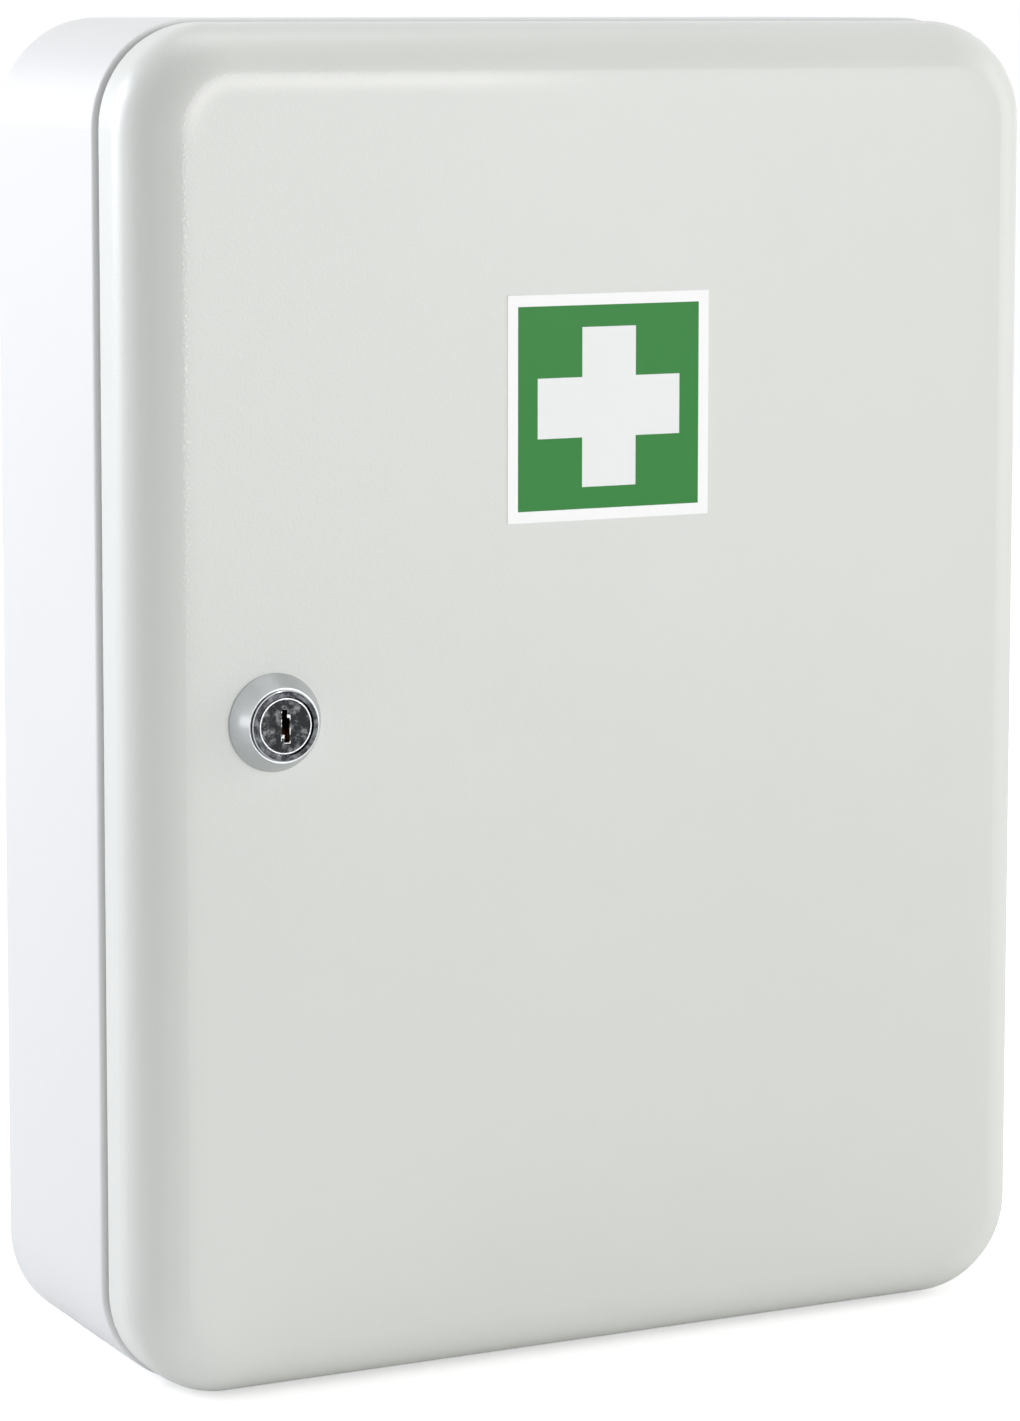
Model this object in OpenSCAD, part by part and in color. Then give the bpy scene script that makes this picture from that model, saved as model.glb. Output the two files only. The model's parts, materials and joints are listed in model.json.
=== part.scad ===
// Lockable wall cabinet for medicines: a pressed steel body with a pressed steel door,
// hidden swan-neck hinges, a wafer cam lock with a conical collar, and two shelves.
// X runs along the width, Z is up, and Y runs from the door towards the wall.
// The origin is the middle of the four wall holes, on the back face.

/* [Cabinet body] */
// Width of the body across the outer faces of its sides
cab_w = 270; // [230:1:330]
// Height of the body
cab_h = 360; // [320:1:450]
// Depth of the body from the wall to its front rim
body_d = 73; // [65:1:120]
// Outer radius of the four upright corners of the outline
corner_r = 28; // [24:1:40]
// Thickness of the body's steel sheet
sheet_t = 1; // [0.8:0.1:1.2]
// Outer radius of the bend between the sides and the back
back_r = 5; // [3:0.5:8]
// Outer radius of the bend between the sides and the front lip
rim_r = 2; // [1.5:0.1:3]
// Width of the lip that the front rim turns inwards
lip_w = 12; // [9:0.5:14]

/* [Wall holes] */
// Distance between the wall holes, side to side
wall_dx = 200; // [150:1:206]
// Distance between the wall holes, top to bottom
wall_dz = 290; // [240:1:296]
// Diameter of the wall holes
wall_d = 6.5; // [4:0.5:9]

/* [Door] */
// Depth of the door from its flat front to its rim
door_d = 25; // [23:1:32]
// Gap between the door's rim and the body's rim
door_gap = 2; // [1.8:0.1:2.6]
// How far the door's outline lies inside the body's
door_inset = 0.8; // [0.4:0.1:1.2]
// Thickness of the door's steel sheet
door_t = 1; // [0.8:0.1:1.2]
// Radius of the door's rounded front edge
edge_r = 17; // [14:0.5:19]
// Angle at which the rounded edge meets the flat front
edge_crease = 15; // [5:1:20]
// Diameter of the shallow dimples in the door's upper edge
dimple_d = 11; // [8:0.5:14]
// Depth of the dimples
dimple_h = 0.5; // [0.3:0.1:0.7]
// Distance from each side of the door to the middle of its dimple
dimple_side = 31; // [30:1:45]
// Distance from the flat front back to the middle of the dimples
dimple_back = 14; // [12:0.5:16]

/* [Hinges] */
// Distance of each hinge from the middle of the cabinet's height
hinge_z = 112; // [60:1:115]
// Height of a hinge
hinge_h = 30; // [24:1:40]
// Distance from the door's outer side face in to the pin's axis
hinge_in = 5; // [4.9:0.05:5.3]
// Least gap between the swinging door and the body's rim
swing_gap = 0.9; // [0.7:0.05:1]
// Diameter of the hinge pins
pin_d = 4; // [3:0.1:4.2]
// Play between a pin and its knuckles, on the radius
pin_play = 0.05; // [0.02:0.01:0.08]
// Diameter of the heads of the hinge pins
pin_head_d = 6; // [5:0.1:7]
// Thickness of the heads of the hinge pins
pin_head_t = 1.2; // [0.8:0.1:2]
// Outer diameter of the knuckles
knuckle_d = 7; // [6.6:0.1:7.2]
// Height of the door leaf's knuckle
leaf_knuckle_h = 13.4; // [10:0.1:16]
// Gap between neighbouring knuckles, along the pin
knuckle_gap = 0.3; // [0.2:0.05:0.5]
// Thickness of the hinge arms
arm_t = 1.5; // [1.2:0.1:1.8]
// Gap between the swinging rim and the hinge arm's upright run
arm_gap = 1.9; // [1:0.1:3]
// Gap between the body's lip and the hinge arm behind it
arm_lip_gap = 1; // [0.5:0.1:2]
// Length of the arm's foot along the body's side
foot_l = 24; // [16:1:30]
// Thickness of the door leaves
leaf_t = 1.4; // [1:0.1:1.5]
// Distance that a door leaf stops short of the door's rim
leaf_short = 0.5; // [0.2:0.1:1]

/* [Shelves] */
// Height of the upper shelf above the cabinet's middle
upper_z = 60; // [48:1:66]
// Depth of the lower shelf below the cabinet's middle
lower_z = 60; // [50:1:66]
// Thickness of the shelves' steel sheet
shelf_t = 1; // [0.8:0.1:1.5]
// Gap between a shelf's ends and the body's sides
shelf_gap = 0.5; // [0.3:0.1:0.9]
// Gap between a shelf's back edge and the bend of the back
shelf_back_gap = 0.5; // [0.3:0.1:0.9]
// Gap between a shelf's front and the body's lip
shelf_lip_gap = 4; // [3:0.5:8]
// Height of the turned-up front of a shelf
shelf_front_h = 14; // [8:1:25]
// Height of the turned-up back of a shelf
shelf_back_h = 8; // [4:1:20]
// Inner radius of the shelves' bends
shelf_bend = 1.5; // [0.5:0.5:3]
// Width of the rails that carry the shelves
rail_w = 11; // [10:0.5:16]
// Height of the rails against the sides
rail_h = 12; // [8:0.5:18]
// Thickness of the rails
rail_t = 1.2; // [1:0.1:2]
// Distance by which each rail is shorter than its shelf at both ends
rail_short = 5; // [2:0.5:10]
// Diameter of the screws that hold the shelves to the rails
shelf_screw_d = 3.5; // [3:0.1:4]
// Diameter of the heads of those screws
shelf_screw_head_d = 7; // [6:0.1:8]
// Length of those screws below the shelf
shelf_screw_l = 6; // [4:0.5:9]
// Play of those screws in their holes, on the radius
shelf_screw_play = 0.2; // [0.1:0.05:0.3]

/* [Lock] */
// Distance from the body's left side in to the lock's axis
lock_side = 38; // [38:1:55]
// Height of the lock's axis above the cabinet's middle
lock_z = 0; // [-15:1:15]
// Diameter of the conical collar where it lies on the door
collar_d = 25.7; // [24:0.1:30]
// Diameter of the collar's front
collar_front_d = 19.6; // [19:0.1:22]
// Height of the collar
collar_h = 6.2; // [4:0.1:9]
// Thickness of the collar's outer edge
collar_edge = 0.5; // [0.3:0.1:1]
// Diameter of the lock's head in front of the collar
head_d = 18.5; // [18:0.1:18.9]
// Thickness of the head
head_t = 2.2; // [2:0.1:3]
// How far the head stands out of the collar
head_proud = 1.2; // [0.6:0.1:1.6]
// Diameter of the threaded barrel
barrel_d = 16.5; // [16:0.1:17]
// Width across the barrel's two flats
barrel_af = 14.4; // [14:0.1:15]
// Play of the barrel in the door, the collar, the washer and the nut, on the radius
barrel_play = 0.1; // [0.05:0.05:0.2]
// Diameter of the plug's visible face
face_d = 15.3; // [14:0.1:15.6]
// Thickness of the plug's face
face_t = 1.2; // [0.8:0.1:1.3]
// Bevel round the plug's face
face_bevel = 0.4; // [0.2:0.1:0.6]
// Play round the plug's face, on the radius
face_play = 0.15; // [0.1:0.05:0.3]
// Depth of the plug's face below the front of the head
face_sunk = 0.3; // [0.1:0.1:0.4]
// Diameter of the plug inside the barrel
plug_d = 12; // [11.6:0.1:12.4]
// Running play of the plug in the barrel, on the radius
plug_play = 0.05; // [0.02:0.01:0.08]
// Height of the keyway
key_h = 8.6; // [7:0.1:9.4]
// Width of the keyway
key_w = 2.2; // [1.8:0.1:2.4]
// Sideways step of the keyway's upper and lower grooves
key_step = 0.7; // [0.3:0.1:0.7]
// Across flats of the nut
nut_af = 21; // [20:0.5:24]
// Thickness of the nut
nut_t = 4.5; // [3:0.5:7]
// Outer diameter of the toothed washer
washer_d = 22; // [21:0.5:24]
// Thickness of the toothed washer
washer_t = 0.8; // [0.5:0.1:1.2]
// Number of notches round the toothed washer
washer_n = 12; // [8:1:16]
// Number of wafers
wafer_n = 5; // [3:1:6]
// Thickness of a wafer
wafer_t = 0.8; // [0.6:0.1:1]
// Distance between neighbouring wafers
wafer_pitch = 2.4; // [2.2:0.1:3]
// Width of a wafer
wafer_w = 5.8; // [5:0.1:6.2]
// Play of the wafers in their slots, on each side
wafer_play = 0.05; // [0.04:0.01:0.08]
// Diameter of the wafers' springs
spring_d = 0.7; // [0.5:0.05:0.8]
// Thickness of the stop plate between barrel and cam
stop_t = 1; // [0.8:0.1:1.5]
// Radius of the stop plate
stop_r = 5.8; // [5.6:0.1:5.9]
// Length of the stop plate's lug from the lock's axis
lug_l = 8; // [7.4:0.1:8.4]
// Width of that lug
lug_w = 6; // [4:0.5:8]
// Play of the lug at each end of its quarter turn
lug_play = 0.15; // [0.1:0.05:0.3]
// Play between the barrel's end and the stop plate
stop_play = 0.2; // [0.1:0.1:0.4]
// Side of the square on the plug's tail
tail_w = 7; // [6:0.1:7.5]
// Length of the cam from the lock's axis to its tip
cam_l = 32; // [30:0.5:34]
// Width of the cam
cam_w = 14; // [12:0.5:16]
// Thickness of the cam
cam_t = 2.5; // [1.5:0.1:3]
// Play between the cam and the strike plate
cam_play = 0.6; // [0.4:0.1:1]
// Thickness of the strike plate behind the body's lip
strike_t = 1.2; // [0.8:0.1:2]
// Height of the strike plate
strike_h = 40; // [30:1:60]
// Diameter of the screw that holds the cam
cam_screw_d = 4; // [3:0.1:4.5]
// Diameter of that screw's head
cam_screw_head_d = 8; // [7:0.1:9]
// Thickness of that screw's head
cam_screw_head_t = 2.6; // [1.8:0.1:3.2]
// Length of that screw's thread inside the plug
cam_screw_l = 7; // [5:0.5:9]
// Outer diameter of the spring washer under that screw's head
spring_washer_d = 10; // [9:0.5:12]
// Thickness of the spring washer
spring_washer_t = 0.8; // [0.6:0.1:1.2]

/* [Sign label] */
// Side of the square first aid label
label_w = 60; // [40:1:90]
// Thickness of the label
label_t = 0.2; // [0.1:0.05:0.4]
// Height of the label's middle above the cabinet's middle
label_z = 78; // [60:1:95]

/* [Hidden] */
$fn = 96;
// A little extra for cuts that run out of a face
eps = 0.01;
// Length by which a cut runs past what it cuts
past = 1;

// Main planes along Y
y_rim = -body_d;
y_lip = y_rim + sheet_t;
y_front = y_rim - door_gap - door_d;

// Outline of the door
door_w = cab_w - 2 * door_inset;
door_h = cab_h - 2 * door_inset;
door_r = corner_r - door_inset;
// Distance from the flat front to the middle of the rounded edge
edge_v = edge_r * cos(edge_crease);

// Hinge axis: e, g and c are the pin's distance from the side, the gap and the swing gap,
// and the rim clears the body where p * p - 2 * p * c + c * c = e * e + (p - g) * (p - g)
pin_r = pin_d / 2;
bore_r = pin_r + pin_play;
knuckle_r = knuckle_d / 2;
hinge_x = cab_w / 2 - door_inset - hinge_in;
hinge_fwd = (pow(hinge_in, 2) + pow(door_gap, 2) - pow(swing_gap, 2)) / (2 * (door_gap - swing_gap));
hinge_y = y_rim - hinge_fwd;
rim_sweep = norm([hinge_in, hinge_fwd - door_gap]);
arm_x = -(rim_sweep + arm_gap + arm_t / 2);
arm_y = -(knuckle_r - arm_t / 2);
back_run_y = hinge_fwd + sheet_t + arm_lip_gap + arm_t / 2;
foot_x = cab_w / 2 - sheet_t - hinge_x - arm_t / 2;
arm_knuckle_h = (hinge_h - leaf_knuckle_h) / 2 - knuckle_gap;
notch_h = leaf_knuckle_h + 2 * knuckle_gap;
notch_x = knuckle_r + 2 * knuckle_gap;

// Shelves
shelf_w = cab_w - 2 * sheet_t - 2 * shelf_gap;
shelf_y1 = -back_r - shelf_back_gap;
shelf_y0 = y_lip + shelf_lip_gap;
shelf_l = shelf_y1 - shelf_y0;
rail_x = cab_w / 2 - sheet_t;
screw_x = rail_x - rail_w + shelf_screw_head_d / 2;
screw_y = (shelf_y0 + shelf_y1) / 2;
shelf_hole_r = shelf_screw_d / 2 + shelf_screw_play;
// Thickness of the shelf screws' heads
shelf_head_t = 2;

// Lock, measured along its axis from the door's flat front into the cabinet
barrel_r = barrel_d / 2;
seat_r = barrel_r + barrel_play;
face_r = face_d / 2;
plug_r = plug_d / 2;
plug_hole_r = plug_r + plug_play;
head_z = -collar_h - head_proud;
head_back = head_z + head_t;
face_z = head_z + face_sunk;
face_back = face_z + face_t;
cam_z = door_d + door_gap + sheet_t + strike_t + cam_play;
// Gap between the stop plate's edge and the barrel's stop wall
stop_gap = 0.4;
stop_wall_r = stop_r + stop_gap;
barrel_end = cam_z - stop_t - stop_play;
plug_end = cam_z - stop_t;
tail_end = cam_z + cam_t;
tail_play = 0.05;
washer_z = door_t;
nut_z = washer_z + washer_t;
wafer_z = nut_z + nut_t;
wafer_slot_t = wafer_t + 2 * wafer_play;
// How far the wafers' ends lie inside the plug
wafer_short = 0.15;
wafer_r = plug_r - wafer_short;
// Window of a wafer, its room round the key, and how far each window stands off the middle
window_room = 0.45;
window_w = key_w + 2 * window_room;
window_h = key_h - 2.4;
window_shift = [0.4, -0.5, 0.2, 0.5, -0.3, 0];
// Ear of a wafer, which its spring pushes
ear_w = 1.5;
ear_y = 0.3;
ear_h = 1.2;
// Where the springs start, their room at the start, and the ear's room to move
spring_y = -3.1;
spring_room = 0.1;
ear_room = 0.4;
cam_bore_r = cam_screw_d / 2 + tail_play;
// Depth below the tail's end to which the cam screw's hole is drilled
cam_hole_l = cam_screw_l + 1;

body_grey = "#DDE0DC";
inner_grey = "#D2D5D1";
steel = "#B9BCBE";
satin_chrome = "#C6C9CB";
dark_chrome = "#8C8F92";
brass = "#C8A95A";

// A pan with an outline of w by h with corners of radius r, open towards +Z.
// Its child is the section of the floor and wall: X outwards from the corners' axis,
// Y up from the floor; floor_t closes the middle.
module pan(w, h, r, floor_t) {
    for (k = [0 : 3]) {
        sx = (k == 0 || k == 3) ? 1 : -1;
        sy = k < 2 ? 1 : -1;
        translate([sx * (w / 2 - r), sy * (h / 2 - r), 0])
            rotate([0, 0, 90 * k])
                rotate_extrude(angle = 90)
                    children();
    }
    for (k = [0 : 3]) {
        run = k % 2 == 0 ? h : w;
        across = k % 2 == 0 ? w : h;
        rotate([0, 0, 90 * k])
            translate([across / 2 - r, 0, 0])
                rotate([90, 0, 0])
                    linear_extrude(height = run - 2 * r, center = true)
                        children();
    }
    translate([-w / 2 + r, -h / 2 + r, 0])
        cube([w - 2 * r, h - 2 * r, floor_t]);
}

// Quarter of a ring, from the -X axis to the -Y axis, for the bends of sheet metal
module bend_2d(r, t) {
    intersection() {
        difference() {
            circle(r);
            circle(r - t);
        }
        translate([-r, -r])
            square(r);
    }
}

// Section of the body's wall: back sheet, bend, side, bend and lip
module body_section() {
    square([corner_r - back_r, sheet_t]);
    translate([corner_r, 0])
        mirror([1, 0]) {
            translate([back_r, back_r])
                bend_2d(back_r, sheet_t);
            translate([0, back_r])
                square([sheet_t, body_d - back_r - rim_r]);
            translate([rim_r, body_d - rim_r])
                mirror([0, 1])
                    bend_2d(rim_r, sheet_t);
            translate([rim_r, body_d - sheet_t])
                square([lip_w - rim_r, sheet_t]);
        }
}

// Section of the door's wall: flat front, crease, rounded edge and straight rim
module door_section() {
    inner_r = edge_r - door_t;
    outer_u = edge_r * (1 - sin(edge_crease));
    inner_u = edge_r - sqrt(pow(inner_r, 2) - pow(edge_v - door_t, 2));
    square([door_r - (outer_u + inner_u) / 2, door_t]);
    intersection() {
        translate([door_r - edge_r, edge_v])
            difference() {
                circle(edge_r);
                circle(inner_r);
            }
        translate([door_r - edge_r, 0])
            square([edge_r, edge_v]);
    }
    translate([door_r - door_t, edge_v])
        square([door_t, door_d - edge_v]);
}

// Places things on the lock's axis: Z from the door's flat front inwards, Y downwards
module at_lock() {
    translate([lock_side - cab_w / 2, y_front, lock_z])
        rotate([-90, 0, 0])
            children();
}

// Round bar with both flats of the barrel
module double_d(r, af) {
    intersection() {
        circle(r);
        square([af, 2 * r + past], center = true);
    }
}

// Bent strip of sheet, from point to point, rounded outside its bends
module strip_2d(points, t) {
    for (i = [0 : len(points) - 2]) {
        d = points[i + 1] - points[i];
        translate(points[i])
            rotate(atan2(d[1], d[0]))
                translate([0, -t / 2])
                    square([norm(d), t]);
    }
    for (i = [1 : len(points) - 2])
        translate(points[i])
            circle(t / 2);
}

// Places things at a hinge pin's middle
module at_hinge(side) {
    translate([hinge_x, hinge_y, side * hinge_z])
        children();
}

module cabinet_body() {
    color(body_grey)
    difference() {
        rotate([90, 0, 0])
            pan(cab_w, cab_h, corner_r, sheet_t)
                body_section();
        for (sx = [-1, 1], sz = [-1, 1])
            translate([sx * wall_dx / 2, past, sz * wall_dz / 2])
                rotate([90, 0, 0])
                    cylinder(d = wall_d, h = sheet_t + 2 * past);
    }
}

// Plate welded behind the left lip, which the cam slides behind
module strike_plate() {
    bevel = strike_t / 2;
    color(steel)
    translate([-cab_w / 2 + rim_r, 0, lock_z])
        rotate([90, 0, 90])
            linear_extrude(height = lip_w - rim_r)
                polygon([
                    [y_lip, -strike_h / 2], [y_lip, strike_h / 2],
                    [y_lip + bevel, strike_h / 2],
                    [y_lip + strike_t, strike_h / 2 - 2 * strike_t],
                    [y_lip + strike_t, 2 * strike_t - strike_h / 2],
                    [y_lip + bevel, -strike_h / 2]
                ]);
}

// Section of a shelf along Y: turned-up front and back with bends
module shelf_section() {
    r = shelf_bend + shelf_t;
    translate([r, 0])
        square([shelf_l - 2 * r, shelf_t]);
    translate([r, r])
        bend_2d(r, shelf_t);
    translate([shelf_l - r, r])
        mirror([1, 0])
            bend_2d(r, shelf_t);
    translate([0, r])
        square([shelf_t, shelf_front_h - r]);
    translate([shelf_l - shelf_t, r])
        square([shelf_t, shelf_back_h - r]);
}

module shelf(z) {
    color(inner_grey)
    difference() {
        translate([-shelf_w / 2, shelf_y0, z])
            rotate([90, 0, 90])
                linear_extrude(height = shelf_w)
                    shelf_section();
        for (sx = [-1, 1])
            translate([sx * screw_x, screw_y, z - past])
                cylinder(r = shelf_hole_r, h = shelf_t + 2 * past);
    }
}

// Angle under a shelf's end, welded to the side of the body
module shelf_rail(side, z) {
    l = shelf_l - 2 * rail_short;
    color(inner_grey)
    difference() {
        translate([side * rail_x, shelf_y0 + rail_short, z])
            mirror([side < 0 ? 1 : 0, 0, 0])
                union() {
                    translate([-rail_w, 0, -rail_t])
                        cube([rail_w, l, rail_t]);
                    translate([-rail_t, 0, -rail_h])
                        cube([rail_t, l, rail_h - rail_t]);
                }
        translate([side * screw_x, screw_y, z - rail_t - past])
            cylinder(r = shelf_hole_r, h = rail_t + 2 * past);
    }
}

module shelf_screw(x, z) {
    translate([x, screw_y, z + shelf_t]) {
        intersection() {
            cylinder(d = shelf_screw_head_d, h = shelf_head_t);
            translate([0, 0, shelf_head_t - shelf_screw_head_d])
                sphere(r = shelf_screw_head_d);
        }
        translate([0, 0, -shelf_screw_l - shelf_t])
            cylinder(d = shelf_screw_d, h = shelf_screw_l + shelf_t + eps);
    }
}

module shelf_screws() {
    color(steel)
    for (x = [-screw_x, screw_x], z = [upper_z, -lower_z])
        shelf_screw(x, z);
}

// Swan-neck arm: its foot is welded inside the body's side, and its neck passes round
// the path of the door's rim to the two outer knuckles
module hinge_arm(side) {
    color(steel)
    at_hinge(side)
        difference() {
            union() {
                translate([0, 0, -hinge_h / 2])
                    linear_extrude(height = hinge_h)
                        strip_2d([
                            [0, arm_y], [arm_x, arm_y], [arm_x, back_run_y],
                            [foot_x, back_run_y], [foot_x, back_run_y + foot_l]
                        ], arm_t);
                for (s = [-1, 1])
                    translate([0, 0, s * (hinge_h - arm_knuckle_h) / 2])
                        cylinder(r = knuckle_r, h = arm_knuckle_h, center = true);
            }
            translate([-notch_x, -knuckle_r - past, -notch_h / 2])
                cube([notch_x + knuckle_r, knuckle_r + past + arm_y + arm_t, notch_h]);
            cylinder(r = bore_r, h = hinge_h + 2 * past, center = true);
        }
}

module hinge_pin(side) {
    color(steel)
    at_hinge(side) {
        translate([0, 0, -hinge_h / 2 - eps])
            cylinder(r = pin_r, h = hinge_h + 2 * eps);
        for (s = [-1, 1])
            translate([0, 0, s * (hinge_h + pin_head_t) / 2])
                cylinder(d = pin_head_d, h = pin_head_t, center = true);
    }
}

// Leaf welded inside the door's side, with the middle knuckle
module hinge_leaf(side) {
    leaf_x = hinge_in - door_t - leaf_t;
    leaf_y0 = knuckle_r + knuckle_gap;
    leaf_y1 = hinge_fwd - door_gap - leaf_short;
    color(steel)
    at_hinge(side)
        difference() {
            union() {
                cylinder(r = knuckle_r, h = leaf_knuckle_h, center = true);
                translate([knuckle_r - leaf_t, 0, -leaf_knuckle_h / 2])
                    cube([leaf_t, leaf_y0 + leaf_t, leaf_knuckle_h]);
                translate([leaf_x, leaf_y0, -hinge_h / 2])
                    cube([leaf_t, leaf_y1 - leaf_y0, hinge_h]);
            }
            cylinder(r = bore_r, h = leaf_knuckle_h + 2 * past, center = true);
        }
}

// Height of the door's outer surface above its edge, as deep as the rounded edge has sunk
function edge_sink(v) = edge_r - sqrt(pow(edge_r, 2) - pow(max(edge_v - v, 0), 2));

module door_pan() {
    dimple_ball = (pow(dimple_d / 2, 2) + pow(dimple_h, 2)) / (2 * dimple_h);
    dimple_z = door_h / 2 - edge_sink(dimple_back) - dimple_h + dimple_ball;
    color(body_grey)
    difference() {
        translate([0, y_front, 0])
            rotate([-90, 0, 0])
                pan(door_w, door_h, door_r, door_t)
                    door_section();
        at_lock()
            translate([0, 0, -past])
                linear_extrude(height = door_t + 2 * past)
                    double_d(seat_r, barrel_af + 2 * barrel_play);
        for (s = [-1, 1])
            translate([s * (door_w / 2 - dimple_side), y_front + dimple_back, dimple_z])
                sphere(r = dimple_ball);
    }
}

module first_aid_label() {
    color("#4A8C4E")
    translate([-label_w / 2, y_front - label_t, label_z - label_w / 2])
        cube([label_w, label_t, label_w]);
}

module lock_collar() {
    color(satin_chrome)
    at_lock()
        difference() {
            union() {
                translate([0, 0, -collar_edge])
                    cylinder(d = collar_d, h = collar_edge);
                translate([0, 0, -collar_h])
                    cylinder(d1 = collar_front_d, d2 = collar_d, h = collar_h - collar_edge);
            }
            translate([0, 0, -collar_h - past])
                cylinder(r = seat_r, h = collar_h + 2 * past);
            translate([0, 0, head_z])
                cylinder(r = head_d / 2 + barrel_play, h = head_t);
        }
}

// Wall on the barrel's end that stops the stop plate's lug after a quarter turn
module stop_wall_2d() {
    h = lug_w / 2 + lug_play;
    difference() {
        double_d(barrel_r, barrel_af);
        circle(stop_wall_r);
        translate([-h, h - barrel_d])
            square(barrel_d);
    }
}

// Head, flatted barrel, stop wall and the bores for the plug and its face
module lock_housing() {
    bevel = head_proud / 3;
    color(dark_chrome)
    at_lock()
        difference() {
            union() {
                translate([0, 0, head_z])
                    cylinder(r1 = head_d / 2 - bevel, r2 = head_d / 2, h = bevel);
                translate([0, 0, head_z + bevel])
                    cylinder(d = head_d, h = head_t - bevel);
                translate([0, 0, head_back - eps])
                    linear_extrude(height = barrel_end - head_back + eps)
                        double_d(barrel_r, barrel_af);
                translate([0, 0, barrel_end - eps])
                    linear_extrude(height = stop_t + eps)
                        stop_wall_2d();
            }
            translate([0, 0, head_z - past])
                cylinder(r = plug_hole_r, h = barrel_end - head_z + 2 * past);
            translate([0, 0, head_z - past])
                cylinder(r = face_r + face_play, h = face_back + plug_play - head_z + past);
        }
}

// Washer with notches round its edge, which bites into the door's sheet
module lock_washer() {
    notch = washer_d / washer_n;
    color(steel)
    at_lock()
        translate([0, 0, washer_z])
            linear_extrude(height = washer_t)
                difference() {
                    circle(d = washer_d);
                    double_d(seat_r, barrel_af + 2 * barrel_play);
                    for (i = [0 : washer_n - 1])
                        rotate(360 * i / washer_n)
                            translate([washer_d / 2, 0])
                                rotate(45)
                                    square(notch, center = true);
                }
}

module lock_nut() {
    color(steel)
    at_lock()
        translate([0, 0, nut_z])
            difference() {
                cylinder(d = nut_af / cos(30), h = nut_t, $fn = 6);
                translate([0, 0, -past])
                    cylinder(r = seat_r, h = nut_t + 2 * past);
            }
}

// Keyway: a narrow slot whose two ends step to opposite sides
module keyway_2d() {
    square([key_w, key_h / 2], center = true);
    translate([-key_w / 2, -key_h / 2])
        square([key_w - key_step, key_h / 2]);
    translate([-key_w / 2 + key_step, 0])
        square([key_w - key_step, key_h / 2]);
}

// Slot across the plug for one wafer, its ear and its spring
module wafer_slot_2d() {
    w = wafer_w + 2 * wafer_play;
    square([w, plug_d + past], center = true);
    translate([0, spring_y - spring_room])
        square([w / 2 + ear_w, ear_y + ear_h - spring_y + spring_room + ear_room]);
}

module lock_plug() {
    color(dark_chrome)
    at_lock()
        difference() {
            union() {
                translate([0, 0, face_z])
                    cylinder(r1 = face_r - face_bevel, r2 = face_r, h = face_bevel);
                translate([0, 0, face_z + face_bevel])
                    cylinder(r = face_r, h = face_t - face_bevel);
                translate([0, 0, face_back - eps])
                    cylinder(r = plug_r, h = plug_end - face_back + eps);
                translate([-tail_w / 2, -tail_w / 2, plug_end - eps])
                    cube([tail_w, tail_w, tail_end - plug_end + eps]);
            }
            translate([0, 0, face_z - past])
                linear_extrude(height = wafer_z + wafer_n * wafer_pitch - face_z + past)
                    keyway_2d();
            for (i = [0 : wafer_n - 1])
                translate([0, 0, wafer_z + i * wafer_pitch - wafer_play])
                    linear_extrude(height = wafer_slot_t)
                        wafer_slot_2d();
            translate([0, 0, tail_end - cam_hole_l])
                cylinder(r = cam_bore_r, h = cam_hole_l + past);
        }
}

// Wafers with windows at different heights, as cut for one key
module lock_wafers() {
    color(brass)
    at_lock()
        for (i = [0 : wafer_n - 1])
            translate([0, 0, wafer_z + i * wafer_pitch])
                linear_extrude(height = wafer_t)
                    difference() {
                        union() {
                            intersection() {
                                circle(wafer_r);
                                square([wafer_w, plug_d], center = true);
                            }
                            translate([0, ear_y])
                                square([wafer_w / 2 + ear_w - wafer_play, ear_h]);
                        }
                        translate([0, window_shift[i % len(window_shift)]])
                            square([window_w, window_h], center = true);
                    }
}

module wafer_springs() {
    color(steel)
    at_lock()
        for (i = [0 : wafer_n - 1])
            translate([(wafer_w + ear_w) / 2, spring_y, wafer_z + i * wafer_pitch + wafer_t / 2])
                rotate([-90, 0, 0])
                    cylinder(d = spring_d, h = ear_y - spring_y);
}

// Plate that turns with the plug, and whose lug meets the barrel's stop wall
module stop_plate() {
    color(steel)
    at_lock()
        translate([0, 0, plug_end])
            linear_extrude(height = stop_t)
                difference() {
                    union() {
                        circle(stop_r);
                        translate([-lug_w / 2, -lug_l])
                            square([lug_w, lug_l]);
                    }
                    square(tail_w + 2 * tail_play, center = true);
                }
}

module lock_cam() {
    color(steel)
    at_lock()
        translate([0, 0, cam_z])
            linear_extrude(height = cam_t)
                difference() {
                    union() {
                        circle(d = cam_w);
                        translate([-cam_w / 2, 0])
                            square([cam_w, cam_l - cam_w / 2]);
                        translate([0, cam_l - cam_w / 2])
                            circle(d = cam_w);
                    }
                    square(tail_w + 2 * tail_play, center = true);
                }
}

// Split spring washer under the head of the cam's screw
module cam_washer() {
    color(steel)
    at_lock()
        translate([0, 0, tail_end])
            linear_extrude(height = spring_washer_t)
                difference() {
                    circle(d = spring_washer_d);
                    circle(cam_bore_r);
                    rotate(30)
                        translate([0, -spring_washer_t / 2])
                            square([spring_washer_d, spring_washer_t]);
                }
}

module cam_screw() {
    head_z0 = tail_end + spring_washer_t;
    color(steel)
    at_lock()
        difference() {
            union() {
                intersection() {
                    translate([0, 0, head_z0])
                        cylinder(d = cam_screw_head_d, h = cam_screw_head_t);
                    translate([0, 0, head_z0 + cam_screw_head_t - cam_screw_head_d])
                        sphere(r = cam_screw_head_d);
                }
                translate([0, 0, tail_end - cam_screw_l])
                    cylinder(d = cam_screw_d, h = cam_screw_l + spring_washer_t + eps);
            }
            for (a = [0, 90])
                translate([0, 0, head_z0 + cam_screw_head_t])
                    rotate(a)
                        cube([cam_screw_head_d / 2, cam_screw_d / 4, cam_screw_head_t], center = true);
        }
}

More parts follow.
